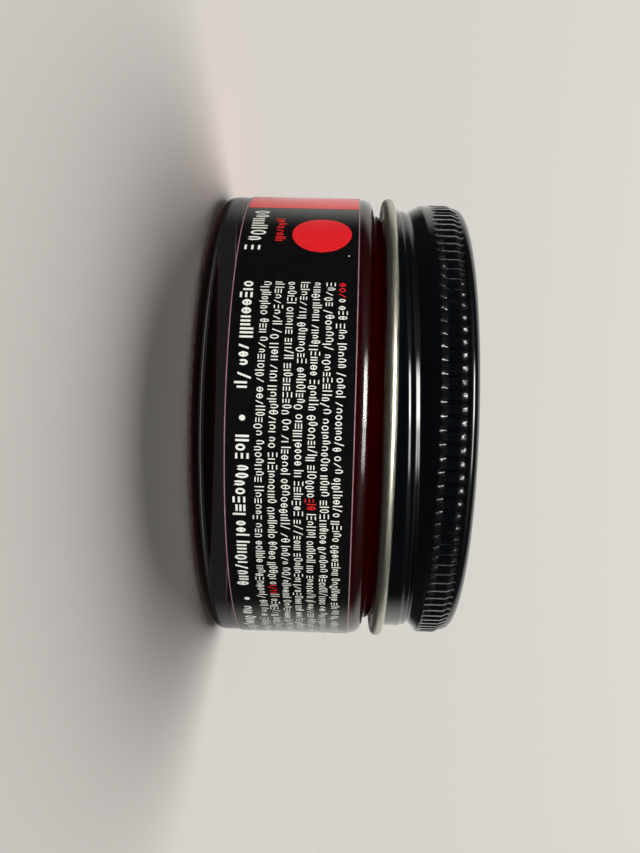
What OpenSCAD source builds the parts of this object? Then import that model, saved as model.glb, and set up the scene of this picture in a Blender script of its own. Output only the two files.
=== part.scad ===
// Round glass cream jar with a threaded neck and a knurled steel screw lid.
// Millimetres, +Z up along the jar's axis. The origin is on that axis, in the
// plane of the underside. The small print on the wrap label faces -Y.

/* [Glass jar] */
// Outside diameter of the glass body
jar_d = 61; // [60.5:0.1:63]
// Height of the shoulder above the underside
shoulder_z = 20.3; // [19.8:0.1:20.8]
// Height of the mouth's rim above the underside
lip_z = 31.35; // [31.05:0.05:31.35]
// Outside diameter of the neck below its thread
neck_d = 55.9; // [55.4:0.1:56]
// Thickness of the glass wall of the body
wall_t = 2.8; // [2:0.1:3.5]
// Thickness of the glass wall of the neck
neck_t = 2.2; // [1.9:0.1:2.4]
// Thickness of the glass floor
floor_t = 3.5; // [2.5:0.1:4.5]
// Radius of the heel, where the wall turns into the underside
heel_r = 2; // [1.5:0.1:2.5]
// Radius of the outer edge of the shoulder
shoulder_r = 1.4; // [0.8:0.1:1.6]

/* [Screw thread] */
// Rise of the lid in one turn
pitch = 4.23; // [4.1:0.01:4.3]
// Diameter over the crest of the thread on the glass
glass_thread_d = 57.4; // [57:0.1:57.5]
// Diameter inside the crest of the thread rolled into the lid
lid_thread_d = 56.8; // [56.6:0.1:56.9]
// Turns of thread on the glass
glass_turns = 0.95; // [0.8:0.05:0.95]
// Turns of thread in the lid
lid_turns = 0.66; // [0.6:0.02:0.66]

/* [Lid] */
// Outside diameter of the skirt just above the curl
skirt_d = 58.64; // [58.4:0.02:58.8]
// Outside diameter of the bulge between thread and knurl
bulge_d = 59.76; // [59.4:0.02:60]
// Outside diameter of the wall between knurl and top corner
crown_d = 58.9; // [58.6:0.02:59.2]
// Thickness of the steel sheet
sheet_t = 0.22; // [0.18:0.01:0.24]
// Height of the lid's lower edge above the underside
lid_z = 21.55; // [21.5:0.05:21.7]
// Height of the lid's top above the underside
top_z = 32.4; // [32.4:0.05:32.7]
// Radius of the section of the curl at the lower edge
curl_r = 0.78; // [0.7:0.02:0.8]
// Radius of the lid's top corner
corner_r = 1.6; // [1.5:0.1:2.2]
// Number of ridges around the knurl
ridges = 120; // [60:1:130]
// Height at which the knurl starts
knurl_z = 27.8; // [27.7:0.05:28]
// Length of the knurl's ridges
knurl_h = 2.65; // [2:0.05:2.7]
// Depth of the knurl
knurl_depth = 0.38; // [0.2:0.02:0.5]

/* [Liner] */
// Thickness of the sealing liner in the lid
liner_t = 0.75; // [0.5:0.05:0.75]

/* [Label and sticker] */
// Height of the wrap label's lower edge
label_z = 4.2; // [3:0.1:4.4]
// Width of the wrap label
label_w = 14.3; // [10:0.1:14.4]
// Gap between the ends of the wrap label, in degrees
label_gap = 3; // [1:0.5:10]
// Thickness of the label and of the sticker
paper_t = 0.1; // [0.06:0.01:0.14]
// Side of the square sticker under the base
sticker_w = 41.6; // [30:0.1:42]
// Direction of the sticker's corner that shows past the heel, in degrees
sticker_turn = 236; // [0:1:360]

/* [Cream] */
// Height of the cream's surface
cream_z = 25.5; // [22:0.1:26]

/* [Hidden] */
$fn = 180;

// Glass
jar_r = jar_d / 2;
neck_r = neck_d / 2;
mouth_r = neck_r - neck_t;
cavity_r = jar_r - wall_t;
base_z = paper_t;                      // the glass stands on the sticker
underside_r = 25.2;                    // inner edge of the bearing ring
underside_rise = 0.6;                  // how far the underside is hollowed
underside_slope = 1.2;                 // width of the step up to the hollow
neck_foot_w = 0.6;                     // the neck widens by this at the shoulder
neck_foot_h = 1.1;                     // and does so over this height
lip_r = 0.8;                           // rounding of the mouth's rim
floor_z = base_z + floor_t;
floor_dome = 0.3;                      // the floor is this much higher in the middle
floor_corner_r = 3;                    // rounding between floor and wall inside
throat_r = (cavity_r - mouth_r) / 2;   // the two curves of the shoulder inside
throat_z = shoulder_z - 1.3;           // where the upper one of them starts
cream_gap = 0.03;                      // keeps the cream's solid off the glass
glue_t = 0.02;                         // glue under the wrap label

// Thread. It is right-handed, so it rises with the angle about +Z.
thread_start = 165;                    // direction in which both threads start
lid_thread_z = lid_z + 2.815;          // height of the lid's thread at its start
thread_offset = 1.75;                  // the glass thread lies this far above it
thread_step = 6;                       // degrees between two sections
fade = 25;                             // degrees over which a thread runs out
floor_half = 0.25;                     // half width of the floor of the lid's groove
flank = 0.88;                          // widening of the groove per unit of radius
groove_reach = 1;                      // the cut for the groove starts this far outside
groove_end = 0.05;                     // and at its ends stops this far off the wall
groove_below_knurl = 0.1;              // steel left between groove and knurl
glass_crest_half = 0.3;                // half widths of the glass thread
glass_root_half = 0.85;
glass_root_in = 0.4;                   // how deep it is rooted in the neck
glass_end_in = 0.15;                   // how deep its ends sink into the neck

// Lid
skirt_r = skirt_d / 2;
bulge_r = bulge_d / 2;
crown_r = crown_d / 2;
curl_z = lid_z + curl_r;
curl_c = skirt_r - sheet_t + curl_r;   // the curl's centre line
curl_end = 120;                        // the curl stops just short of the skirt
skirt_top_z = lid_z + 3.55;            // the skirt is straight up to here
bulge_z = lid_z + 4.75;                // the bulge is widest from here
bulge_top_z = knurl_z - 0.45;          // up to here
corner_z = top_z - corner_r;
corner_c = crown_r - corner_r;
liner_play = 0.05;                     // gap between liner and lid
liner_corner_r = corner_r - sheet_t - liner_play;
liner_top_z = corner_z + liner_corner_r;

// Points on an arc about [x, y] from angle a0 to a1.
function arc(x, y, r, a0, a1, n) =
    [for (i = [0 : n]) let (a = a0 + (a1 - a0) * i / n) [x + r * cos(a), y + r * sin(a)]];

// The same points in the opposite order.
function back(p) = [for (i = [len(p) - 1 : -1 : 0]) p[i]];

function mix(a, b, t) = a + (b - a) * t;

// Rises smoothly from 0 to 1 while z goes from a to b.
function ease(a, b, z) = let (u = min(1, max(0, (z - a) / (b - a)))) u * u * (3 - 2 * u);

// Outside radius of the lid's wall at height z, from the skirt up to the crown.
function wall_r(z) =
    z < bulge_z ? mix(skirt_r, bulge_r, ease(skirt_top_z, bulge_z, z))
    : mix(bulge_r, crown_r, ease(bulge_top_z, knurl_z, z));

// That wall as points, moved inwards by inset.
function wall(inset) = concat(
    [for (i = [0 : 8]) let (z = mix(skirt_top_z, bulge_z, i / 8)) [wall_r(z) - inset, z]],
    [for (i = [0 : 4]) let (z = mix(bulge_top_z, knurl_z, i / 4)) [wall_r(z) - inset, z]]);

// Inside of the jar from height top down to the middle of the floor, moved
// away from the glass by gap.
function cavity(gap, top) = concat(
    [[mouth_r - gap, top]],
    arc(mouth_r + throat_r, throat_z, throat_r + gap, 180, 270, 6),
    arc(cavity_r - throat_r, throat_z - 2 * throat_r, throat_r - gap, 90, 0, 6),
    arc(cavity_r - floor_corner_r, floor_z + floor_corner_r, floor_corner_r - gap, 0, -90, 8),
    [[0, floor_z + floor_dome + gap]]);

// Angle past the thread's start and height above it, for section i.
function turn(i) = i * thread_step;
function rise(i) = pitch * turn(i) / 360;
function sections(turns) = floor(turns * 360 / thread_step);

// Share of the full depth at section i of n: both ends run out.
function depth(i, n) = ease(0, fade, turn(i)) * ease(0, fade, turn(n - i));

// Solid swept round the axis: sections is a list of four-cornered sections
// [radius, height], one every thread_step degrees.
module sweep(sections) {
    n = len(sections);
    points = [for (i = [0 : n - 1], p = sections[i])
        let (a = thread_start + turn(i)) [p[0] * cos(a), p[0] * sin(a), p[1]]];
    sides = [for (i = [0 : n - 2], j = [0 : 3])
        let (a = 4 * i + j, b = 4 * i + (j + 1) % 4)
        each [[a, b, b + 4], [a, b + 4, a + 4]]];
    last = 4 * (n - 1);
    ends = [[0, 2, 1], [0, 3, 2], [last, last + 1, last + 2], [last, last + 2, last + 3]];
    polyhedron(points = points, faces = concat(sides, ends));
}

// Ridge of the screw thread on the neck.
module glass_thread() {
    n = sections(glass_turns);
    root = neck_r - glass_root_in;
    sweep([for (i = [0 : n])
        let (z = lid_thread_z + thread_offset + rise(i),
            r = mix(neck_r - glass_end_in, glass_thread_d / 2, depth(i, n)))
        [[root, z - glass_root_half], [r, z - glass_crest_half],
            [r, z + glass_crest_half], [root, z + glass_root_half]]]);
}

// Groove rolled into the lid's wall, moved towards the axis by inset. At its
// ends it rises clear of the wall, and its upper flank stays below the knurl.
module lid_groove(inset) {
    n = sections(lid_turns);
    far = bulge_r + groove_reach;
    half = floor_half + inset / 2;
    limit = knurl_z - groove_below_knurl + inset;
    sweep([for (i = [0 : n])
        let (z = lid_thread_z + rise(i),
            r = mix(wall_r(z) + groove_end, lid_thread_d / 2 + sheet_t, depth(i, n)) - inset,
            spread = half + (far - r) * flank)
        [[r, z - half], [far, z - spread], [far, min(z + spread, limit)], [r, z + half]]]);
}

// Ring of pressed ridges, rooted in the lid's wall.
module knurl() {
    step = 360 / ridges;
    valley = crown_r + 0.05;
    crest = crown_r + knurl_depth;
    translate([0, 0, knurl_z]) linear_extrude(knurl_h) difference() {
        polygon([for (i = [0 : ridges - 1], p = [[valley, 0], [crest, 0.35], [crest, 0.65]])
            let (a = (i + p[1]) * step) p[0] * [cos(a), sin(a)]]);
        circle(crown_r - sheet_t / 2);
    }
}

// Clear pressed glass: hollow underside inside a bearing ring, rounded heel,
// straight wall, rounded shoulder, and an open neck with nearly one turn of
// thread above a conical foot.
module glass_jar() {
    color([0.80, 0.84, 0.84, 0.45]) union() {
        rotate_extrude() polygon(concat(
            [[0, base_z + underside_rise], [underside_r - underside_slope, base_z + underside_rise],
                [underside_r, base_z]],
            arc(jar_r - heel_r, base_z + heel_r, heel_r, -90, 0, 10),
            arc(jar_r - shoulder_r, shoulder_z - shoulder_r, shoulder_r, 0, 90, 8),
            [[neck_r + neck_foot_w, shoulder_z], [neck_r, shoulder_z + neck_foot_h]],
            arc(neck_r - lip_r, lip_z - lip_r, lip_r, 0, 90, 6),
            arc(mouth_r + lip_r, lip_z - lip_r, lip_r, 90, 180, 6),
            cavity(0, throat_z + throat_r)));
        glass_thread();
    }
}

// Firm cream that fills the jar up to the neck.
module shoe_cream() {
    color([0.24, 0.01, 0.03]) rotate_extrude()
        polygon(concat([[0, cream_z]], cavity(cream_gap, cream_z)));
}

// Printed label glued round the body. Its ends leave a narrow gap behind.
module wrap_label() {
    color([0.06, 0.06, 0.07]) rotate([0, 0, 90 + label_gap / 2]) rotate_extrude(angle = 360 - label_gap)
        translate([jar_r + glue_t, label_z]) square([paper_t, label_w]);
}

// Square sticker under the base. Its corners reach past the heel's curve.
module base_sticker() {
    color([0.12, 0.11, 0.12]) rotate([0, 0, sticker_turn - 45])
        translate([-sticker_w / 2, -sticker_w / 2, 0]) cube([sticker_w, sticker_w, paper_t]);
}

// One piece of enamelled steel sheet: curled lower edge, skirt, rolled
// thread, bulge, knurl, rounded corner and flat top. The space inside it has
// the same outline, one sheet further in.
module lid_shell() {
    color([0.05, 0.055, 0.065]) union() {
        difference() {
            rotate_extrude() polygon(concat(
                [[0, curl_z]],
                arc(curl_c, curl_z, curl_r, -180, curl_end, 20),
                arc(curl_c, curl_z, curl_r - sheet_t, curl_end, -180, 20),
                wall(0),
                arc(corner_c, corner_z, corner_r, 0, 90, 8),
                [[0, top_z]]));
            lid_groove(0);
            difference() {
                rotate_extrude() polygon(concat(
                    [[0, curl_z], [skirt_r - sheet_t, curl_z]],
                    wall(sheet_t),
                    arc(corner_c, corner_z, corner_r - sheet_t, 0, 90, 8),
                    [[0, top_z - sheet_t]]));
                lid_groove(sheet_t);
            }
        }
        knurl();
    }
}

// Disc that seals on the mouth's rim.
module lid_liner() {
    first = asin((liner_corner_r - liner_t) / liner_corner_r);
    color([0.90, 0.88, 0.82]) rotate_extrude() polygon(concat(
        [[0, liner_top_z - liner_t]],
        arc(corner_c, corner_z, liner_corner_r, first, 90, 8),
        [[0, liner_top_z]]));
}

glass_jar();
shoe_cream();
wrap_label();
base_sticker();
lid_shell();
lid_liner();
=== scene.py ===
"""Looks of the shoe cream jar: glass, cream, printed label and screw lid.

Everything is in metres in the frame's axes: +Z up along the jar's axis, with
the label's small print and the camera towards -Y.
"""
import math
import random

import bmesh
import bpy
import numpy as np
from mathutils import Matrix, Vector


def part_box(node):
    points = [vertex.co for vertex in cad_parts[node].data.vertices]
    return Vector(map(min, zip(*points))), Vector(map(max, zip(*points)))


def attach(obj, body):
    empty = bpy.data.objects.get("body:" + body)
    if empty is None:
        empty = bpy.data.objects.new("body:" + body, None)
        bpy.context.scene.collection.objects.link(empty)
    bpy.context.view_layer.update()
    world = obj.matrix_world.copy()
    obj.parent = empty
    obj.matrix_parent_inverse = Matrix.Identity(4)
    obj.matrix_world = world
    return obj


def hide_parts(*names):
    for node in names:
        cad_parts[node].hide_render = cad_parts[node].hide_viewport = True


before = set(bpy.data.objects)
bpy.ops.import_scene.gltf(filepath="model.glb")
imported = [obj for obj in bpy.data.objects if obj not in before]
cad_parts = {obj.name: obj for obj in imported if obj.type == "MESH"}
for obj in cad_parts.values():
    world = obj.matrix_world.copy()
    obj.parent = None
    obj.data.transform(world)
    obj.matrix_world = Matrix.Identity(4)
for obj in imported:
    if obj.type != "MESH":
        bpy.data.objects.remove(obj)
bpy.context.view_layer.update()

# ---------------------------------------------------------------- sizes, in metres
MM = 0.001

GLASS_LOW, GLASS_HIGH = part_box("glass_jar")
LABEL_LOW, LABEL_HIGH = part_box("wrap_label")
LID_LOW, LID_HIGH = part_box("lid_shell")
LINER_LOW, LINER_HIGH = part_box("lid_liner")
CREAM_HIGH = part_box("shoe_cream")[1]
STICKER_LOW, STICKER_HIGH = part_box("base_sticker")

# Glass jar
JAR_R = GLASS_HIGH[0]
BASE_Z = GLASS_LOW[2]
LIP_Z = GLASS_HIGH[2]
LIP_R = 0.8 * MM
NECK_R = JAR_R - 2.55 * MM
NECK_FOOT_R = NECK_R + 0.6 * MM    # the neck widens to this above the shoulder
NECK_FOOT_H = 1.1 * MM
FILLET_R = 0.2 * MM                # between the shoulder and the neck's foot
SHOULDER_Z = BASE_Z + 20.2 * MM
SHOULDER_R = 1.25 * MM
BEVEL = 0.25 * MM                  # a flat between the two halves of the shoulder's curve
BEVEL_ANGLE = 28.5
HEEL_R = 2 * MM
UNDERSIDE_R = 25.2 * MM            # radius of the hollow underside
UNDERSIDE_RISE = 0.6 * MM
STIPPLES = 96                      # dimples round the base ring
STIPPLE_LEAN = 2.2                 # the rows of dimples lean: radians of wave to a mm outwards
STIPPLE_DEPTH = 0.12 * MM

# Its cavity and the cream
MOUTH_R = NECK_R - 2.2 * MM
CAVITY_R = JAR_R - 2.8 * MM
CAVITY_CORNER = 3 * MM
THROAT_Z = SHOULDER_Z - 1.3 * MM   # the cavity widens below this
FLOOR_Z = BASE_Z + 3.5 * MM
FLOOR_CROWN = 0.3 * MM             # the cavity's floor is this much higher in the middle
BURIED = 0.02 * MM                 # the cream reaches this far into the glass, to wet it
SWIRL_DROP = 0.15 * MM             # the swirl's middle height is this far below the CAD's cream

# Lid
LID_Z = LID_LOW[2]
TOP_Z = LID_HIGH[2]
SHEET_T = 0.22 * MM
CURL_R = 0.78 * MM
CURL_END = 120                     # angle on the curl's own circle where the sheet ends
SKIRT_R = LID_HIGH[0] - 2 * CURL_R + SHEET_T
BULGE_R = SKIRT_R + 0.56 * MM      # between the thread and the ridges
CREST_R = SKIRT_R + 0.64 * MM      # over the ridges
VALLEY_R = SKIRT_R + 0.09 * MM     # between them
CROWN_R = SKIRT_R + 0.28 * MM      # just below the top corner
CORNER_W = 2.2 * MM                # the top corner is a quarter of an ellipse
CORNER_H = 1.25 * MM
CORNER_Z = TOP_Z - CORNER_H
WALL_Z = LID_Z + 1.85 * MM         # the lowest row that the thread moves
KNURL_Z = LID_Z + 6.25 * MM
KNURL_H = 2.65 * MM
BULGE_Z = KNURL_Z - 0.28 * MM      # the highest row that counts as bulge, not ridges
RIDGES = 120
RIDGE_STEPS = (0, 0.08, 0.3, 0.7, 0.92)   # columns across a ridge, from valley to valley
RIDGE_BREADTH = 2.5                # more gives broader ridges and narrower valleys
RIDGE_FOOT = (-0.45 * MM, 0.20 * MM)   # a ridge rises between these heights from KNURL_Z
RIDGE_END = (-0.52 * MM, 0.48 * MM)    # and falls off between these from the knurl's top
VALLEY_START = -0.05 * MM          # a valley starts at this height from KNURL_Z
VALLEY_SLOPE = 0.54
RIDGE_SEED = 3
UNEVEN_CREST = 0.06                # how much ridges differ in height, as a share of it
UNEVEN_END = 0.05 * MM             # how much they differ in where they end
UNEVEN_START = 0.18 * MM           # how much valleys differ in where they start
UNEVEN_SLOPE = 0.08                # and in their slope
SPECKLE = 40                       # height of the knurl's specks, to that of the enamel's waves

# Screw threads
PITCH = 4.23 * MM
THREAD_START = 165                 # degrees from +X
FADE = 30                          # degrees in which a thread runs out
LID_THREAD_Z = LID_Z + 2.815 * MM
LID_TURNS = 0.66
GLASS_THREAD_Z = LID_THREAD_Z + 1.75 * MM
GLASS_THREAD_R = 28.7 * MM
GLASS_THREAD_TOP = 0.3 * MM        # half the width of the thread's top
GLASS_THREAD_FOOT = 0.85 * MM      # and of its foot
GLASS_TURNS = 0.95

# Section of the lid's thread, in mm: heights from its middle, and depths
STEP_SPAN = (-1.31, -0.89)
STEP_DEPTH = 0.16
GROOVE_SPAN = (-0.54, 0.20)
GROOVE_DEPTH = 0.18                # at the thread's start
GROOVE_GROWTH = 0.001              # more for each degree of turn
GROOVE_LATE = 0.22                 # and this much more past the LATE_GROOVE degrees of turn
LATE_GROOVE = (115, 180)
SLOPE_START = 0.2                  # of the slope from the groove out to the bulge
SLOPE_LATE = 0.3                   # it starts this much lower past the LATE_SLOPE degrees
LATE_SLOPE = (120, 180)
SLOPE_LENGTH = (0.4, 1.6)          # at least, and at most

# The lid's skirt where it has no thread
PLAIN_Z = LID_Z + 3.55 * MM        # it widens from here up
PLAIN_SLOPE = 0.75

# Label, print and sticker
LABEL_Z = LABEL_LOW[2]
LABEL_W = LABEL_HIGH[2] - LABEL_LOW[2]
LABEL_R = LABEL_HIGH[0]
LABEL_END = 178.5                  # degrees from the front to each end of the label
PAPER_T = STICKER_HIGH[2] - STICKER_LOW[2]
PRINT_T = 0.012 * MM               # the print stands this far off the label
PRINT_SEED = 7
STICKER_SIDE = 41.6 * MM
STICKER_CORNER = 236               # direction of one of its corners, degrees from +X
STICKER_LIFT = 0.20 * MM
LIFT_FROM = 28.2 * MM              # the corners lift between these distances from the axis
LIFT_TO = 29.4 * MM

OWN = []   # names of the jar's pieces, as they are made


# ---------------------------------------------------------------- small helpers
def arc(x, z, r, start, end, steps, high=None):
    """Points on an arc about (x, z), angles in degrees. With high it is part
    of an ellipse of half width r and half height high."""
    angles = np.radians(np.linspace(start, end, steps + 1))
    return [(x + r * math.cos(a), z + (high or r) * math.sin(a)) for a in angles]


def line(start, end, steps):
    """Points from start to end, both included."""
    return [tuple(p) for p in np.linspace(start, end, steps + 1)]


def ease(low, high, value):
    """Rises smoothly from 0 to 1 while value goes from low to high."""
    t = np.clip((value - low) / (high - low), 0, 1)
    return t * t * (3 - 2 * t)


def mix(a, b, t):
    """From a to b while t goes from 0 to 1."""
    return a + (b - a) * t


def soft_min(a, b, width):
    """The smaller of a and b, rounded off where they cross."""
    h = np.clip(0.5 + 0.5 * (b - a) / width, 0, 1)
    return mix(b, a, h) - width * h * (1 - h)


def new_object(name, verts, faces):
    mesh = bpy.data.meshes.new(name)
    mesh.from_pydata(verts, [], faces)
    mesh.update()
    obj = bpy.data.objects.new(name, mesh)
    bpy.context.scene.collection.objects.link(obj)
    return obj


def own_object(name, verts, faces):
    """An object that belongs to the jar and not to the studio."""
    OWN.append(name)
    return new_object(name, verts, faces)


def lathe(name, profile, turns, shape=None):
    """Surface of revolution of (radius, height) points. turns is the number
    of columns or where each stands, as a share of a full turn. shape(r, z,
    angle) may move the points."""
    points = np.array(profile)
    rows = len(points)
    if isinstance(turns, int):
        turns = np.arange(turns) / turns
    columns = len(turns)
    angle = 2 * math.pi * np.asarray(turns)
    r = np.repeat(points[:, :1], columns, axis=1)
    z = np.repeat(points[:, 1:], columns, axis=1)
    if shape is not None:
        r, z = shape(r, z, angle[None, :])
    verts = np.stack([r * np.cos(angle), r * np.sin(angle), z], axis=-1).reshape(-1, 3)
    faces = []
    for i in range(rows - 1):
        low = i * columns
        high = low + columns
        for j in range(columns):
            k = (j + 1) % columns
            faces.append((low + j, low + k, high + k, high + j))
    obj = own_object(name, verts.tolist(), faces)
    weld_poles(obj)
    obj.data.shade_smooth()
    return obj


def weld_poles(obj):
    """Joins the points that a profile puts on the axis."""
    bm = bmesh.new()
    bm.from_mesh(obj.data)
    on_axis = [v for v in bm.verts if math.hypot(v.co.x, v.co.y) < 1e-7]
    bmesh.ops.remove_doubles(bm, verts=on_axis, dist=1e-6)
    bmesh.ops.recalc_face_normals(bm, faces=bm.faces)
    bm.to_mesh(obj.data)
    bm.free()


def two_materials(obj, first, second, faces_of_first):
    """Gives the first faces one material and the rest another."""
    obj.data.materials.append(first)
    obj.data.materials.append(second)
    for face in obj.data.polygons:
        face.material_index = 0 if face.index < faces_of_first else 1


# ---------------------------------------------------------------- materials
class Shader:
    """A Principled material with short calls for its nodes."""

    def __init__(self, name, **values):
        self.mat = bpy.data.materials.new(name)
        self.mat.use_nodes = True
        self.tree = self.mat.node_tree
        self.bsdf = self.tree.nodes["Principled BSDF"]
        self.coords = self.node("ShaderNodeTexCoord").outputs["Object"]
        for key, value in values.items():
            self.bsdf.inputs[key.replace("_", " ")].default_value = value

    def node(self, kind, **values):
        made = self.tree.nodes.new(kind)
        for key, value in values.items():
            setattr(made, key, value)
        return made

    def link(self, a, b):
        self.tree.links.new(a, b)

    def noise(self, scale, detail=3.0, stretch=(1, 1, 1), rough=0.5):
        """Noise of about this many waves to the metre."""
        mapping = self.node("ShaderNodeMapping")
        mapping.inputs["Scale"].default_value = stretch
        self.link(self.coords, mapping.inputs["Vector"])
        made = self.node("ShaderNodeTexNoise")
        made.inputs["Scale"].default_value = scale
        made.inputs["Detail"].default_value = detail
        made.inputs["Roughness"].default_value = rough
        self.link(mapping.outputs["Vector"], made.inputs["Vector"])
        return made.outputs["Fac"]

    def span(self, value, low, high, from_low=0.3, from_high=0.7):
        """From low to high while value goes from from_low to from_high."""
        made = self.node("ShaderNodeMapRange")
        made.inputs["From Min"].default_value = from_low
        made.inputs["From Max"].default_value = from_high
        made.inputs["To Min"].default_value = low
        made.inputs["To Max"].default_value = high
        self.link(value, made.inputs["Value"])
        return made.outputs["Result"]

    def colour(self, noise, a, b):
        """A base colour that wanders between a and b."""
        made = self.node("ShaderNodeMix", data_type="RGBA")
        made.inputs["A"].default_value = (*a, 1)
        made.inputs["B"].default_value = (*b, 1)
        self.link(self.span(noise, 0, 1), made.inputs["Factor"])
        self.link(made.outputs["Result"], self.bsdf.inputs["Base Color"])

    def roughness(self, noise, low, high):
        self.link(self.span(noise, low, high), self.bsdf.inputs["Roughness"])

    def bump(self, height, strength, distance):
        made = self.node("ShaderNodeBump")
        made.inputs["Strength"].default_value = strength
        made.inputs["Distance"].default_value = distance
        self.link(height, made.inputs["Height"])
        self.link(made.outputs["Normal"], self.bsdf.inputs["Normal"])

    def times(self, a, b):
        made = self.node("ShaderNodeMath", operation="MULTIPLY")
        self.link(a, made.inputs[0])
        self.link(b, made.inputs[1])
        return made.outputs[0]

    def add(self, a, b, share):
        """a and this share of b."""
        made = self.node("ShaderNodeMath", operation="MULTIPLY_ADD")
        made.inputs[1].default_value = share
        self.link(b, made.inputs[0])
        self.link(a, made.inputs[2])
        return made.outputs[0]

    def within(self, low, high, soft=0.3 * MM):
        """1 where the height is between low and high, 0 elsewhere."""
        parts = self.node("ShaderNodeSeparateXYZ")
        self.link(self.coords, parts.inputs[0])
        from_below = self.span(parts.outputs[2], 0, 1, low, low + soft)
        from_above = self.span(parts.outputs[2], 1, 0, high - soft, high)
        return self.times(from_below, from_above)


def glass_material():
    s = Shader("clear_glass", Roughness=0.0, IOR=1.51, Transmission_Weight=1)
    s.colour(s.noise(60), (0.93, 0.955, 0.95), (0.97, 0.98, 0.975))
    s.bump(s.noise(90, 1.0, (1, 1, 0.6)), 0.06, 0.1 * MM)
    return s.mat


def cream_material():
    s = Shader("burgundy_cream", Roughness=0.34, Specular_IOR_Level=0.4)
    s.colour(s.noise(160, 4.0), (0.050, 0.0012, 0.0035), (0.075, 0.002, 0.006))
    s.bump(s.noise(420, 4.0), 0.25, 0.1 * MM)
    return s.mat


def wetted_cream_painted_light_material():
    """Cream against the glass: no air between them, so no gloss of its own."""
    s = Shader("wetted_cream_painted_light", Roughness=0.9, Specular_IOR_Level=0)
    # Lighter than the cream on top: partly the cream's own colour, partly painted light making up for
    # the light that reaches it only through the glass.
    s.colour(s.noise(140, 4.0, (1, 1, 2)), (0.095, 0.0006, 0.0034), (0.135, 0.0010, 0.0058))
    return s.mat


def film_material():
    s = Shader("label_film", Specular_IOR_Level=0.35)
    s.colour(s.noise(900, 2.0), (0.0028, 0.0028, 0.0031), (0.0044, 0.0044, 0.0044))
    s.roughness(s.noise(120, 4.0), 0.08, 0.16)
    s.bump(s.noise(700, 2.0), 0.08, 0.02 * MM)
    return s.mat


def ink_material(name, dark, light):
    s = Shader(name, Specular_IOR_Level=0.4)
    s.colour(s.noise(1500, 2.0), dark, light)
    s.roughness(s.noise(120, 4.0), 0.16, 0.30)
    return s.mat


def enamel_material():
    """Gloss black with faint smudges and waves, and fine specks on the knurl."""
    s = Shader("black_enamel")
    s.colour(s.noise(200, 3.0), (0.0003, 0.0009, 0.0016), (0.0009, 0.0016, 0.0026))
    s.roughness(s.noise(70, 5.0, (1, 1, 1.6), 0.62), 0.03, 0.07)
    waves = s.add(s.noise(1100, 2.0), s.noise(160, 2.0), 1.5)
    specks = s.times(s.noise(4200, 2.0, (1, 1, 0.4)), s.within(KNURL_Z - 0.3 * MM, CORNER_Z))
    s.bump(s.add(waves, specks, SPECKLE), 0.25, 0.006 * MM)
    return s.mat


def lacquer_material():
    s = Shader("lacquered_steel", Metallic=1.0)
    s.colour(s.noise(140, 4.0), (0.62, 0.60, 0.49), (0.70, 0.68, 0.57))
    s.roughness(s.noise(500, 4.0, (1, 1, 5)), 0.34, 0.42)
    s.bump(s.noise(1400, 3.0, (1, 1, 4)), 0.05, 0.02 * MM)
    return s.mat


def liner_material():
    s = Shader("foam_liner")
    s.colour(s.noise(300, 4.0), (0.70, 0.67, 0.58), (0.80, 0.77, 0.69))
    s.roughness(s.noise(300, 4.0), 0.5, 0.75)
    s.bump(s.noise(1600, 4.0), 0.3, 0.05 * MM)
    return s.mat


def sticker_material():
    s = Shader("dark_paper")
    s.colour(s.noise(500, 4.0), (0.030, 0.026, 0.028), (0.050, 0.045, 0.046))
    s.roughness(s.noise(300, 4.0), 0.35, 0.55)
    s.bump(s.noise(1500, 4.0), 0.2, 0.03 * MM)
    return s.mat


# ---------------------------------------------------------------- the lid
def thread_turn(angle):
    """Degrees past the thread's start."""
    return np.mod(np.degrees(angle) - THREAD_START, 360)


def thread_depth(turn, turns):
    """Share of full depth: the thread runs out at both ends."""
    end = min(turns * 360, 359.9)
    return ease(0, FADE, turn) * ease(0, FADE, end - turn)


def upper_wall(z, angle):
    """Radius of the bulge and, above it, of the ridges up to the crown. No
    two ridges or valleys are quite alike: each has a number from -1 to 1
    that changes its height, its ends or its slope a little."""
    rng = np.random.RandomState(RIDGE_SEED)
    uneven = rng.uniform(-1, 1, (2, RIDGES))
    count = np.degrees(angle) * RIDGES / 360
    of_ridge = uneven[0][np.floor(count + 0.001).astype(int) % RIDGES]
    of_valley = uneven[1][np.floor(count + 0.5).astype(int) % RIDGES]
    wave = 0.5 - 0.5 * np.cos(angle * RIDGES)
    ridge = (1 - (1 - wave) ** RIDGE_BREADTH) * (1 + UNEVEN_CREST * of_ridge)
    knurl_top = KNURL_Z + KNURL_H
    crest = mix(BULGE_R, CREST_R, ease(*RIDGE_FOOT, z - KNURL_Z))
    crest = mix(crest, CROWN_R, ease(*RIDGE_END, z - knurl_top - UNEVEN_END * of_ridge))
    up_valley = np.maximum(z - KNURL_Z - VALLEY_START - UNEVEN_START * of_valley, 0)
    slope = VALLEY_SLOPE + UNEVEN_SLOPE * of_valley
    valley = np.maximum(BULGE_R - slope * up_valley, VALLEY_R)
    wall = mix(valley, crest, ridge)
    return mix(wall, CROWN_R, ease(knurl_top + 0.3 * MM, CORNER_Z, z))


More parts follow.
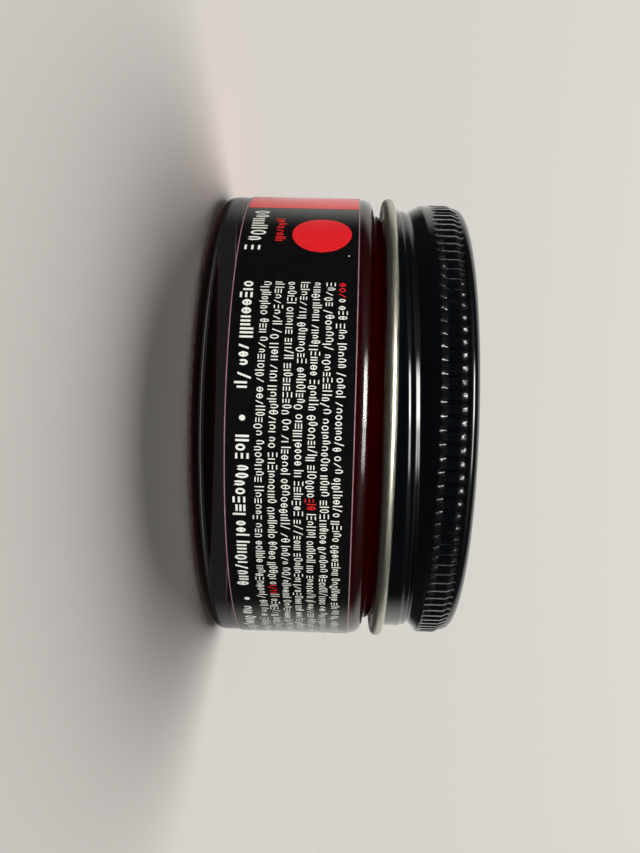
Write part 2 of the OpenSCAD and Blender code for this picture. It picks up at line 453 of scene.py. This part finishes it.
def wall_r(z, angle):
    """Outside radius of the wall: skirt, rolled thread, bulge and ridges.
    Going up, the thread is a small step inwards, then a groove, then a
    slope out to the bulge. Beyond its ends the skirt just widens."""
    turn = thread_turn(angle)
    above = (z - LID_THREAD_Z - PITCH * turn / 360) / MM   # mm above the thread's middle
    step = STEP_DEPTH * ease(*STEP_SPAN, above)
    depth = GROOVE_DEPTH + GROOVE_GROWTH * turn + GROOVE_LATE * ease(*LATE_GROOVE, turn)
    groove = depth * ease(*GROOVE_SPAN, above)
    groove_r = SKIRT_R - (STEP_DEPTH + depth) * MM
    past_start = above - SLOPE_START + SLOPE_LATE * ease(*LATE_SLOPE, turn)
    to_knurl = (KNURL_Z - 0.1 * MM - z) / MM
    length = np.clip(past_start + to_knurl, *SLOPE_LENGTH)
    along = np.maximum(past_start, 0) / length
    threaded = SKIRT_R - (step + groove) * MM + along * (BULGE_R - groove_r)
    plain = SKIRT_R + np.maximum(z - PLAIN_Z, 0) * PLAIN_SLOPE
    wall = mix(plain, threaded, thread_depth(turn, LID_TURNS))
    return soft_min(wall, upper_wall(z, angle), 0.12 * MM)


def lid_profile():
    """(radius, height) points once round the sheet: the enamelled outside,
    then the curl and the inside, which show the lacquered side. The rows are
    close together on the thread and where the ridges end and start."""
    corner_c = CROWN_R - CORNER_W
    curl_c = SKIRT_R - SHEET_T + CURL_R
    curl_z = LID_Z + CURL_R
    ridge_rows = (
        (CORNER_Z - 0.08 * MM, KNURL_Z + KNURL_H - 0.6 * MM, 12),
        (KNURL_Z + 1.9 * MM, KNURL_Z + 1.2 * MM, 2),
        (KNURL_Z + 1.0 * MM, KNURL_Z - 0.2 * MM, 12),
    )
    outside = line((0, TOP_Z), (corner_c, TOP_Z), 3)[:-1]
    outside += arc(corner_c, CORNER_Z, CORNER_W, 90, 0, 14, CORNER_H)
    for high, low, steps in ridge_rows:
        outside += line((CROWN_R, high), (CROWN_R, low), steps)
    outside += line((BULGE_R, BULGE_Z), (SKIRT_R, WALL_Z), 46)
    outside += [(SKIRT_R, curl_z + 0.4 * MM)]
    curl = arc(curl_c, curl_z, CURL_R - SHEET_T, -200, CURL_END, 12)
    curl += arc(curl_c, curl_z, CURL_R, CURL_END, -180, 26)
    inside = line((SKIRT_R - SHEET_T, WALL_Z), (BULGE_R - SHEET_T, BULGE_Z), 18)
    inside += [(CROWN_R - SHEET_T, KNURL_Z + 0.4 * MM), (CROWN_R - SHEET_T, CORNER_Z)]
    inside += arc(corner_c, CORNER_Z, CORNER_W - SHEET_T, 0, 90, 6, CORNER_H - SHEET_T)[1:]
    inside += [(0, TOP_Z - SHEET_T)]
    return outside, curl, inside


def lid_shape(r, z, angle, inner_row):
    """Moves the lathe's points on to the wall, the thread and the ridges.
    The rows of the inside start at inner_row."""
    angle = np.broadcast_to(angle, r.shape)
    clear = 0.03 * MM   # between a row and the height that tells it from its neighbours
    on_wall = (z > WALL_Z - clear) & (z < BULGE_Z + clear)
    on_ridges = (z > BULGE_Z + clear) & (z < CORNER_Z - clear) & (r > CROWN_R - 0.5 * MM)
    wall = wall_r(z, angle)
    ridged = r + upper_wall(z, angle) - CROWN_R
    outside = np.where(on_ridges, ridged, np.where(on_wall, wall, r))
    inside = np.where(on_wall, wall - SHEET_T, r)
    return np.concatenate([outside[:inner_row], inside[inner_row:]]), z


def make_lid(enamel, lacquer):
    outside, curl, inside = lid_profile()
    turns = [(i + step) / RIDGES for i in range(RIDGES) for step in RIDGE_STEPS]
    inner_row = len(outside) + len(curl)
    obj = lathe("lid_sheet", outside + curl + inside, turns,
                lambda r, z, angle: lid_shape(r, z, angle, inner_row))
    two_materials(obj, enamel, lacquer, len(outside) * len(turns))
    return obj


# ---------------------------------------------------------------- the glass
def cavity_profile(gap, top):
    """Inside of the jar from height top to the middle of the floor, moved
    into the cavity by the gap."""
    throat_r = (CAVITY_R - MOUTH_R) / 2
    corner_c = CAVITY_R - CAVITY_CORNER
    points = line((MOUTH_R - gap, top), (MOUTH_R - gap, THROAT_Z), 8)[:-1]
    points += arc(MOUTH_R + throat_r, THROAT_Z, throat_r + gap, 180, 270, 8)
    points += arc(CAVITY_R - throat_r, THROAT_Z - 2 * throat_r, throat_r - gap, 90, 0, 8)[1:]
    points += arc(corner_c, FLOOR_Z + CAVITY_CORNER, CAVITY_CORNER - gap, 0, -90, 12)
    points += line((corner_c, FLOOR_Z + gap), (0, FLOOR_Z + FLOOR_CROWN + gap), 6)[1:]
    return points


def base_profile():
    """From the axis out over the hollow underside, the base ring and the heel."""
    hollow_z = BASE_Z + UNDERSIDE_RISE
    slope_in = (UNDERSIDE_R - 1.1 * MM, BASE_Z + 0.55 * MM)
    slope_out = (UNDERSIDE_R - 0.2 * MM, BASE_Z + 0.08 * MM)
    points = line((0, hollow_z), (UNDERSIDE_R - 1.4 * MM, hollow_z), 6)
    points += line(slope_in, slope_out, 3)
    points += line((UNDERSIDE_R, BASE_Z), (JAR_R - HEEL_R - 0.1 * MM, BASE_Z), 10)
    points += arc(JAR_R - HEEL_R, BASE_Z + HEEL_R, HEEL_R, -90, 0, 16)
    return points


def shoulder_profile():
    """Two arcs with the bevel between them."""
    bevel_in = BEVEL * math.sin(math.radians(BEVEL_ANGLE))
    bevel_up = BEVEL * math.cos(math.radians(BEVEL_ANGLE))
    centre = JAR_R - SHOULDER_R
    low = SHOULDER_Z - SHOULDER_R
    points = arc(centre, low - bevel_up, SHOULDER_R, 0, BEVEL_ANGLE, 5)
    points += arc(centre - bevel_in, low, SHOULDER_R, BEVEL_ANGLE, 90, 9)
    return points


def neck_profile(lip_z):
    """Up the neck's foot and the neck, and over the rim."""
    foot_z = SHOULDER_Z + NECK_FOOT_H
    foot_low = (NECK_FOOT_R - 0.02 * MM, SHOULDER_Z + 0.3 * MM)
    foot_high = (NECK_R + 0.12 * MM, foot_z - 0.2 * MM)
    points = arc(NECK_FOOT_R + FILLET_R, SHOULDER_Z + FILLET_R, FILLET_R, -90, -160, 4)
    points += line(foot_low, foot_high, 4)
    points += [(NECK_R + 0.03 * MM, foot_z)]
    points += line((NECK_R, foot_z + 0.15 * MM), (NECK_R, lip_z), 66)
    points += arc(NECK_R - LIP_R, lip_z, LIP_R, 0, 90, 8)[1:]
    points += arc(MOUTH_R + LIP_R, lip_z, LIP_R, 90, 180, 8)
    return points


def glass_shape(r, z, angle):
    """Adds the screw thread to the neck and the stippling to the base ring."""
    angle = np.broadcast_to(angle, r.shape)
    on_neck = (np.abs(r - NECK_R) < 0.02 * MM) & (z > SHOULDER_Z + NECK_FOOT_H)
    turn = thread_turn(angle)
    centre = GLASS_THREAD_Z + PITCH * turn / 360
    height = (GLASS_THREAD_R - NECK_R) * thread_depth(turn, GLASS_TURNS)
    thread = height * (1 - ease(GLASS_THREAD_TOP, GLASS_THREAD_FOOT, np.abs(z - centre)))
    r = np.where(on_neck, r + thread, r)
    on_base = z < BASE_Z + 0.5 * MM
    outside_hollow = ease(UNDERSIDE_R, UNDERSIDE_R + 0.5 * MM, r)
    inside_heel = 1 - ease(JAR_R - HEEL_R, JAR_R - 0.9 * MM, r)
    dimple = 0.5 + 0.5 * np.cos(angle * STIPPLES + r / MM * STIPPLE_LEAN)
    stipple = STIPPLE_DEPTH * dimple * outside_hollow * inside_heel
    return r, np.where(on_base, z + stipple, z)


def make_glass(glass):
    lip_z = LIP_Z - LIP_R
    profile = base_profile() + shoulder_profile() + neck_profile(lip_z)
    profile += cavity_profile(0, lip_z - 0.1 * MM)
    obj = lathe("glass_body", profile, 288, glass_shape)
    obj.data.materials.append(glass)
    return obj


# ---------------------------------------------------------------- cream and liner
def make_cream(cream, wetted):
    """Cream that wets the glass, with a low swirl on its surface, which is
    flat at the rim and in the middle."""
    top = CREAM_HIGH[2]
    columns = 192
    surface = line((0, top), (MOUTH_R - 1.2 * MM, top), 16)
    surface += [(MOUTH_R - 0.6 * MM, top), (MOUTH_R - 0.25 * MM, top + 0.06 * MM)]

    def swirl(r, z, angle):
        arms = 0.12 * MM * np.sin(3 * angle + r / MM * 0.55)
        ripples = 0.05 * MM * np.sin(r / MM * 1.7 - angle)
        flatten = ease(0, 4 * MM, MOUTH_R - r) * ease(0, 3 * MM, r)
        on_top = np.arange(len(r))[:, None] <= len(surface)
        return r, np.where(on_top, z - SWIRL_DROP + (arms + ripples) * flatten, z)

    obj = lathe("cream_fill", surface + cavity_profile(-BURIED, top + 0.05 * MM), columns, swirl)
    two_materials(obj, cream, wetted, len(surface) * columns)
    return obj


def make_liner(liner):
    """Foam disc with the ring that the mouth's rim has pressed into it."""
    low = LINER_LOW[2]
    high = LINER_HIGH[2]
    edge = LINER_HIGH[0]
    pressed = low + 0.03 * MM
    profile = line((0, low), (MOUTH_R - 0.5 * MM, low), 10)
    profile += line((MOUTH_R, pressed), (NECK_R, pressed), 6)
    profile += line((NECK_R + 0.3 * MM, low), (edge - 0.1 * MM, low), 3)
    profile += [(edge, low + 0.1 * MM), (edge - 0.3 * MM, low + 0.45 * MM), (edge - 1.3 * MM, high)]
    profile += [(0, high)]
    obj = lathe("liner_disc", profile, 128)
    obj.data.materials.append(liner)
    return obj


# ---------------------------------------------------------------- label and print
# Places on the label are (turn, height): turn in degrees from the front,
# -Y, and positive towards +X; height in metres above the label's lower edge.
def on_label(turn, height, lift=0.0):
    a = math.radians(turn - 90)
    r = LABEL_R + lift
    return (r * math.cos(a), r * math.sin(a), LABEL_Z + height)


def degrees_along(length):
    """Degrees of turn that a length takes up on the label."""
    return math.degrees(length / LABEL_R)


def make_label(film):
    """The film, with rounded corners at the gap behind."""
    columns = 480
    corner = 1.2 * MM
    edge = 0.04 * MM
    verts = []
    for turn in np.linspace(-LABEL_END, LABEL_END, columns + 1):
        from_end = math.radians(LABEL_END - abs(turn)) * LABEL_R
        cut = corner - math.sqrt(max(corner ** 2 - max(corner - from_end, 0) ** 2, 0))
        low = cut
        high = LABEL_W - cut
        ring = [(low, -PAPER_T), (low, 0), (low + edge, 0), (high - edge, 0), (high, 0),
                (high, -PAPER_T)]
        verts += [on_label(turn, height, lift) for height, lift in ring]
    faces = []
    for i in range(columns):
        for j in range(6):
            k = (j + 1) % 6
            faces.append((6 * i + j, 6 * i + 6 + j, 6 * i + 6 + k, 6 * i + k))
    faces.append(tuple(range(5, -1, -1)))
    faces.append(tuple(range(6 * columns, 6 * columns + 6)))
    obj = own_object("label_film", verts, faces)
    for face in obj.data.polygons:
        face.use_smooth = face.index < 6 * columns and face.index % 6 in (1, 2, 3)
    obj.data.materials.append(film)
    return obj


class Print:
    """Collects flat shapes of one ink on the label."""

    def __init__(self):
        self.verts = []
        self.faces = []

    def outline(self, points):
        """A closed outline of (turn, height) points, convex."""
        first = len(self.verts)
        self.verts += [on_label(t, h, PRINT_T) for t, h in points]
        self.faces.append(tuple(range(first, first + len(points))))

    def block(self, turn, height, width, tall, lean=0.0):
        """A straight stroke, its lower left corner at (turn, height)."""
        w = degrees_along(width)
        shift = degrees_along(lean)
        self.outline([(turn, height), (turn + w, height),
                      (turn + w + shift, height + tall), (turn + shift, height + tall)])

    def disc(self, turn, height, radius, strips):
        """A disc in strips that follow the label's curve."""
        edges = np.linspace(-radius, radius, strips + 1)
        halves = [math.sqrt(max(radius ** 2 - e ** 2, 0)) for e in edges]
        turns = [turn + degrees_along(e) for e in edges]
        for i in range(strips):
            left = turns[i]
            right = turns[i + 1]
            self.outline([(left, height - halves[i]), (right, height - halves[i + 1]),
                          (right, height + halves[i + 1]), (left, height + halves[i])])

    def bow(self, turn, height, width, tall, stroke, start, end):
        """Part of a ring in a box, its lower left corner at (turn, height),
        from angle start to end."""
        steps = max(3, int((end - start) / 40))
        angles = np.radians(np.linspace(start, end, steps + 1))
        middle = turn + degrees_along(width / 2)
        centre = height + tall / 2
        rings = []
        for inset in (0, stroke):
            across = degrees_along(width / 2 - inset)
            up = tall / 2 - inset
            rings.append([(middle + across * math.cos(a), centre + up * math.sin(a)) for a in angles])
        outer, inner = rings
        for i in range(steps):
            self.outline([outer[i], outer[i + 1], inner[i + 1], inner[i]])

    def mark(self, kind, turn, height, width, tall, stroke):
        """One of a few plain marks made of strokes, none of them a letter."""
        right = turn + degrees_along(width - stroke)
        if kind == "bar":
            self.block(turn, height, stroke, tall)
        elif kind == "pair":
            self.block(turn, height, stroke, tall)
            self.block(right, height, stroke, tall)
        elif kind == "loop":
            self.bow(turn, height, width, tall, stroke, 0, 360)
        elif kind == "barred loop":
            self.bow(turn, height, width, tall, stroke, 0, 360)
            self.block(turn, height + (tall - stroke) / 2, width, stroke)
        elif kind == "bow":
            self.bow(turn, height, width, tall, stroke, -50, 230)
        elif kind == "rungs":
            for share in (0, 0.5, 1):
                self.block(turn, height + share * (tall - stroke), width, stroke)
        else:
            self.block(turn, height, stroke, tall, lean=width - stroke)

    def area(self, start, end, low, high):
        """A rectangle wide enough to need bending round the jar."""
        steps = max(1, int(abs(end - start)))
        turns = np.linspace(start, end, steps + 1)
        for a, b in zip(turns[:-1], turns[1:]):
            self.outline([(a, low), (b, low), (b, high), (a, high)])

    def make(self, name, ink):
        obj = own_object(name, self.verts, self.faces)
        obj.data.materials.append(ink)
        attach(obj, "jar")
        return obj


MARKS = ("bar", "loop", "bow", "rungs", "pair", "slant", "barred loop", "bar", "loop", "bow")

# As shares of a row's height:
MARK_WIDTHS = (0.56, 0.64, 0.72)
MARK_RISES = (0, 0, 0, 0.34, 0.34, -0.28)   # how far a mark goes above the row, or below it
MARK_GAP = 0.22
WORD_GAP = 0.42


def greeked_row(ink, rng, start, end, height, tall, stroke, accent=None, accent_marks=()):
    """A row of marks in word-sized groups, from turn start to end. The marks
    whose numbers are in accent_marks are printed in the other ink."""
    turn = start
    left = rng.randint(3, 9)
    count = 0
    while turn < end:
        if left == 0:
            turn += degrees_along(tall * WORD_GAP)
            left = rng.randint(2, 10)
            continue
        kind = rng.choice(MARKS)
        width = stroke if kind == "bar" else tall * rng.choice(MARK_WIDTHS)
        rise = rng.choice(MARK_RISES)
        low = height + min(rise, 0) * tall
        high = tall * (1 + abs(rise))
        target = accent if accent is not None and count in accent_marks else ink
        target.mark(kind, turn, low, width, high, stroke)
        turn += degrees_along(width + tall * MARK_GAP)
        left -= 1
        count += 1


def print_small_rows(pale, warm, rng, start):
    """Seven rows of small print, with a few marks in the other ink."""
    top_row = 12.1 * MM
    row_pitch = 1.45 * MM
    accents = {0: range(0, 3), 2: range(42, 45), 5: range(60, 63)}
    for i in range(7):
        end = 88 - rng.random() * 5
        greeked_row(pale, rng, start, end, top_row - i * row_pitch, tall=0.78 * MM,
                    stroke=0.125 * MM, accent=warm, accent_marks=accents.get(i, ()))


def print_bold_row(pale, rng, start):
    """A row of bold print below them, in three parts with dots between."""
    low = 1.25 * MM
    tall = 1.12 * MM
    stroke = 0.25 * MM
    for first, last, dot in ((start, -5, 1.5), (5, 42, 47.5), (51, 86, None)):
        greeked_row(pale, rng, first, last, low, tall, stroke)
        if dot is not None:
            pale.disc(dot, low + 0.7 * MM, radius=0.34 * MM, strips=6)


def make_print(white, red):
    """All the print: the rows, and to the left of them a red disc and a
    small dot, two short rows, and the red panel that goes round behind."""
    rng = random.Random(PRINT_SEED)
    pale = Print()
    warm = Print()
    text_start = -28.9
    print_small_rows(pale, warm, rng, text_start)
    print_bold_row(pale, rng, text_start)
    greeked_row(pale, rng, -55.5, -38, height=1.2 * MM, tall=1.45 * MM, stroke=0.27 * MM)
    greeked_row(warm, rng, -51.0, -40.5, height=4.3 * MM, tall=0.9 * MM, stroke=0.19 * MM)
    warm.disc(-44.4, 9.8 * MM, radius=3.55 * MM, strips=32)
    pale.disc(-36.8, 13.1 * MM, radius=0.10 * MM, strips=4)
    warm.area(-176, -57.8, 0.2 * MM, LABEL_W - 0.15 * MM)
    pale.make("label_print_pale", white)
    warm.make("label_print_red", red)


def make_edge_highlights(ink):
    """The cut edges of the film as two thin strips whose pinkish colour is a painted highlight: the
    light that the edges catch is painted into the strips.
    """
    edges = Print()
    width = 0.11 * MM
    past = 0.005 * MM
    end = LABEL_END - 1
    edges.area(-end, end, -past, width)
    edges.area(-end, end, LABEL_W - width, LABEL_W + past)
    edges.make("label_edge_painted_highlights", ink)


def make_sticker(paper):
    """Square paper under the base, lifting a little at its corners."""
    direction = math.radians(STICKER_CORNER - 45)
    thickness = 0.9 * PAPER_T
    count = 32
    verts = []
    ticks = np.linspace(-STICKER_SIDE / 2, STICKER_SIDE / 2, count + 1)
    for top in (0, 1):
        for u in ticks:
            for v in ticks:
                x = u * math.cos(direction) - v * math.sin(direction)
                y = u * math.sin(direction) + v * math.cos(direction)
                lift = STICKER_LIFT * ease(LIFT_FROM, LIFT_TO, math.hypot(x, y))
                verts.append((x, y, STICKER_LOW[2] + top * thickness + lift))
    faces = []
    row = count + 1
    sheet = row * row
    for i in range(count):
        for j in range(count):
            a = i * row + j
            faces.append((a, a + 1, a + row + 1, a + row))
            faces.append((sheet + a, sheet + a + row, sheet + a + row + 1, sheet + a + 1))
    border = list(range(row))
    border += [i * row + count for i in range(1, row)]
    border += [count * row + j for j in range(count - 1, -1, -1)]
    border += [i * row for i in range(count - 1, 0, -1)]
    for a, b in zip(border, border[1:] + border[:1]):
        faces.append((a, sheet + a, sheet + b, b))
    obj = own_object("sticker_paper", verts, faces)
    obj.data.materials.append(paper)
    return obj


# ---------------------------------------------------------------- studio
FLOOR_LEVEL = 0.675           # brightness of the floor and of all beyond it
FLOOR_TINT = (1.0, 0.955, 0.895)
FLOOR_ALBEDO = 0.75
FLOOR_R = 4.0
FADE_FROM = 0.35              # the floor fades out between these distances from the jar
FADE_TO = 0.9
AMBIENT = 0.06
KEY_HEIGHT = 36               # degrees above the floor, from behind the jar
KEY_ANGLE = 46
KEY_ASIDE = 0.05
FRONT = 0.35                  # a weak light from the camera's side, which softens the shadow
FRONT_ANGLE = 70
FRONT_TOWARDS = (0, 0.8, -0.6)
FILL = 4.6
FILL_ANGLE = 110
FILL_TOWARDS = (0, 1, -0.12)
BRIGHT_HALF = 23.0            # brightness of the parts of the world that gloss shows
DIM_HALF = 10.0
GLOW = 0.5
WALLS = 0.72
WINDOW_ACROSS = (0.839, 0.545)   # y and z of the direction across the window
GLOW_ACROSS = (0.742, 0.67)


class WorldNodes:
    """Short calls for the maths in the world's node tree."""

    def __init__(self, tree):
        self.tree = tree

    def math(self, operation, a, b=None):
        made = self.tree.nodes.new("ShaderNodeMath")
        made.operation = operation
        for socket, value in zip(made.inputs, (a, b)):
            if isinstance(value, (int, float)):
                socket.default_value = value
            elif value is not None:
                self.tree.links.new(value, socket)
        return made.outputs[0]

    def total(self, *values):
        result = values[0]
        for value in values[1:]:
            result = self.math("ADD", result, value)
        return result

    def times(self, *values):
        result = values[0]
        for value in values[1:]:
            result = self.math("MULTIPLY", result, value)
        return result

    def along(self, y, z, direction):
        """How far (y, z) reaches in the direction."""
        return self.total(self.times(y, direction[0]), self.times(z, direction[1]))

    def ease(self, low, high, value):
        """Rises smoothly from 0 to 1 while value goes from low to high."""
        made = self.tree.nodes.new("ShaderNodeMapRange")
        made.interpolation_type = "SMOOTHSTEP"
        made.inputs["From Min"].default_value = low
        made.inputs["From Max"].default_value = high
        self.tree.links.new(value, made.inputs["Value"])
        return made.outputs["Result"]

    def box(self, value, centre, half, power=4.0):
        """1 within half of the centre, falling off softly beyond it."""
        away = self.math("ABSOLUTE", self.math("DIVIDE", self.math("SUBTRACT", value, centre), half))
        return self.math("EXPONENT", self.math("MULTIPLY", self.math("POWER", away, power), -1.0))

    def background(self, strength, tint):
        made = self.tree.nodes.new("ShaderNodeBackground")
        made.inputs["Color"].default_value = (*tint, 1)
        if isinstance(strength, (int, float)):
            made.inputs["Strength"].default_value = strength
        else:
            self.tree.links.new(strength, made.inputs["Strength"])
        return made.outputs[0]

    def choose(self, factor, a, b):
        made = self.tree.nodes.new("ShaderNodeMixShader")
        self.tree.links.new(factor, made.inputs[0])
        self.tree.links.new(a, made.inputs[1])
        self.tree.links.new(b, made.inputs[2])
        return made.outputs[0]


def gloss_world(nodes, x, y, z):
    """What gloss shows: high up on the camera's side, a window with a bright
    and a dimmer half and a dim glow round it; behind the jar, pale walls."""
    above = nodes.ease(0.0, 0.25, z)
    bright_half = nodes.times(nodes.box(x, -0.17, half=0.20), BRIGHT_HALF)
    dim_half = nodes.times(nodes.box(x, 0.14, half=0.22), DIM_HALF)
    on_window = nodes.box(nodes.along(y, z, WINDOW_ACROSS), 0.0, half=0.17)
    window = nodes.times(nodes.total(bright_half, dim_half), on_window, above)
    on_glow = nodes.box(nodes.along(y, z, GLOW_ACROSS), 0.0, half=0.34, power=2.0)
    glow = nodes.times(on_glow, nodes.box(x, 0.0, half=0.75), above, GLOW)
    walls = nodes.times(nodes.ease(0.28, 0.62, y), nodes.ease(-0.25, -0.02, z), WALLS)
    dark = 0.035
    return nodes.background(nodes.total(walls, dark, window, glow), (1.0, 0.995, 0.955))


def glass_world(nodes, y, z):
    """What glass lets in: light from the camera's side and some from above."""
    in_front = nodes.ease(0.1, 0.5, nodes.times(y, -1.0))
    overhead = nodes.times(nodes.ease(0.3, 0.6, z), 0.5)
    dark = 0.012
    return nodes.background(nodes.total(in_front, overhead, dark), (1.0, 0.90, 0.94))


def seen_world(nodes, z):
    """What the camera sees past the floor: its tone, a little lighter higher up."""
    lighter = nodes.total(nodes.times(nodes.ease(0.0, 1.0, z), 0.30), 1.0)
    return nodes.background(nodes.times(lighter, FLOOR_LEVEL), FLOOR_TINT)


def make_world():
    """A studio that is different to gloss, through glass and to the camera.
    On all else it casts a weak even light."""
    world = bpy.data.worlds.new("studio")
    bpy.context.scene.world = world
    world.use_nodes = True
    tree = world.node_tree
    nodes = WorldNodes(tree)
    coords = tree.nodes.new("ShaderNodeTexCoord")
    parts = tree.nodes.new("ShaderNodeSeparateXYZ")
    tree.links.new(coords.outputs["Generated"], parts.inputs[0])
    x, y, z = parts.outputs
    path = tree.nodes.new("ShaderNodeLightPath")
    light = nodes.background(AMBIENT, (1.0, 1.0, 1.0))
    light = nodes.choose(path.outputs["Is Glossy Ray"], light, gloss_world(nodes, x, y, z))
    light = nodes.choose(path.outputs["Is Transmission Ray"], light, glass_world(nodes, y, z))
    light = nodes.choose(path.outputs["Is Camera Ray"], light, seen_world(nodes, z))
    tree.links.new(light, tree.nodes["World Output"].inputs["Surface"])


def make_sun(name, strength, angle, towards):
    """A wide soft light that shines in the direction towards. Gloss and
    glass show the world instead of it."""
    data = bpy.data.lights.new(name, "SUN")
    data.energy = strength
    data.angle = math.radians(angle)
    obj = bpy.data.objects.new(name, data)
    bpy.context.scene.collection.objects.link(obj)
    obj.rotation_mode = "QUATERNION"
    obj.rotation_quaternion = Vector(towards).to_track_quat("-Z", "Y")
    obj.visible_glossy = False
    obj.visible_transmission = False
    return obj


def make_lights(pieces):
    """A soft key light from behind, a weak one from the front, and a fill
    from the camera's side that lights the jar and not the floor. The key is
    as strong as it takes to bring the floor to its level."""
    height = math.radians(KEY_HEIGHT)
    from_front = -FRONT * FRONT_TOWARDS[2]
    from_key = (FLOOR_LEVEL / FLOOR_ALBEDO - AMBIENT) * math.pi - from_front
    key_towards = (KEY_ASIDE, -math.cos(height), -math.sin(height))
    make_sun("key", from_key / math.sin(height), KEY_ANGLE, key_towards)
    make_sun("front", FRONT, FRONT_ANGLE, FRONT_TOWARDS)
    fill = make_sun("fill", FILL, FILL_ANGLE, FILL_TOWARDS)
    lit = bpy.data.collections.new("lit_by_fill")
    for obj in pieces:
        lit.objects.link(obj)
    fill.light_linking.receiver_collection = lit


def floor_material():
    """Matt, and clear far away from the jar."""
    s = Shader("pale_floor", Roughness=1.0, Specular_IOR_Level=0)
    s.bsdf.inputs["Base Color"].default_value = (*[FLOOR_ALBEDO * c for c in FLOOR_TINT], 1)
    length = s.node("ShaderNodeVectorMath", operation="LENGTH")
    s.link(s.coords, length.inputs[0])
    clear = s.node("ShaderNodeBsdfTransparent")
    fade = s.node("ShaderNodeMixShader")
    s.link(s.span(length.outputs["Value"], 0, 1, FADE_FROM, FADE_TO), fade.inputs[0])
    s.link(s.bsdf.outputs[0], fade.inputs[1])
    s.link(clear.outputs[0], fade.inputs[2])
    s.link(fade.outputs[0], s.tree.nodes["Material Output"].inputs["Surface"])
    return s.mat


def make_floor():
    """Plain pale floor that fades out far away into what lies beyond it."""
    count = 64
    verts = [(x, y, 0) for x, y in arc(0, 0, FLOOR_R, 0, 360, count)[:-1]]
    obj = new_object("studio_floor", verts, [tuple(range(count))])
    obj.data.materials.append(floor_material())
    obj.visible_glossy = False
    obj.visible_transmission = False


# The camera looks square at the jar's side, from the height of its label,
# turned so that the jar lies across the picture with its lid to the right.
LENS = 35.0
SENSOR = 36
DISTANCE = 3.962 * JAR_R
AIM_Z = 0.4485 * JAR_R
AIM_ASIDE = 0.05 * JAR_R
ROLL = math.radians(1.65)
TILT = math.radians(1.79)


def make_camera():
    data = bpy.data.cameras.new("camera")
    data.lens = LENS
    data.sensor_width = SENSOR
    data.clip_start = 0.005
    data.clip_end = 50
    obj = bpy.data.objects.new("camera", data)
    bpy.context.scene.collection.objects.link(obj)
    square_on = Matrix(((0, -1, 0), (0, 0, -1), (1, 0, 0)))
    lean = Matrix.Rotation(-ROLL, 3, "Z") @ Matrix.Rotation(-TILT, 3, "Y")
    turn = square_on @ lean.transposed()
    place = Vector((0, 0, AIM_Z)) - turn @ Vector((0, AIM_ASIDE, -DISTANCE))
    obj.matrix_world = Matrix.Translation(place) @ turn.to_4x4()
    bpy.context.scene.camera = obj


# ---------------------------------------------------------------- assembly
def stand_in(obj, node, body):
    """Puts a piece in the place of a CAD node, on its body."""
    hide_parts(node)
    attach(obj, body)


make_camera()
make_world()
make_floor()

lid = make_lid(enamel_material(), lacquer_material())
stand_in(lid, "lid_shell", "lid")
stand_in(make_glass(glass_material()), "glass_jar", "jar")
# The cream seen through the glass has a lighter colour than its top: painted light for what the glass
# lets through.
stand_in(make_cream(cream_material(), wetted_cream_painted_light_material()), "shoe_cream", "jar")
stand_in(make_liner(liner_material()), "lid_liner", "liner")
stand_in(make_label(film_material()), "wrap_label", "jar")
stand_in(make_sticker(sticker_material()), "base_sticker", "jar")
make_print(ink_material("pale_ink", (0.80, 0.80, 0.72), (0.88, 0.88, 0.80)),
           ink_material("red_ink", (0.72, 0.010, 0.016), (0.80, 0.014, 0.020)))
# The edge strips' colour is a painted highlight for the light that the film's cut edges catch.
make_edge_highlights(ink_material("edge_painted_highlight", (0.26, 0.13, 0.15), (0.38, 0.21, 0.24)))

bpy.context.scene.view_settings.view_transform = "Standard"

make_lights([bpy.data.objects[name] for name in OWN])
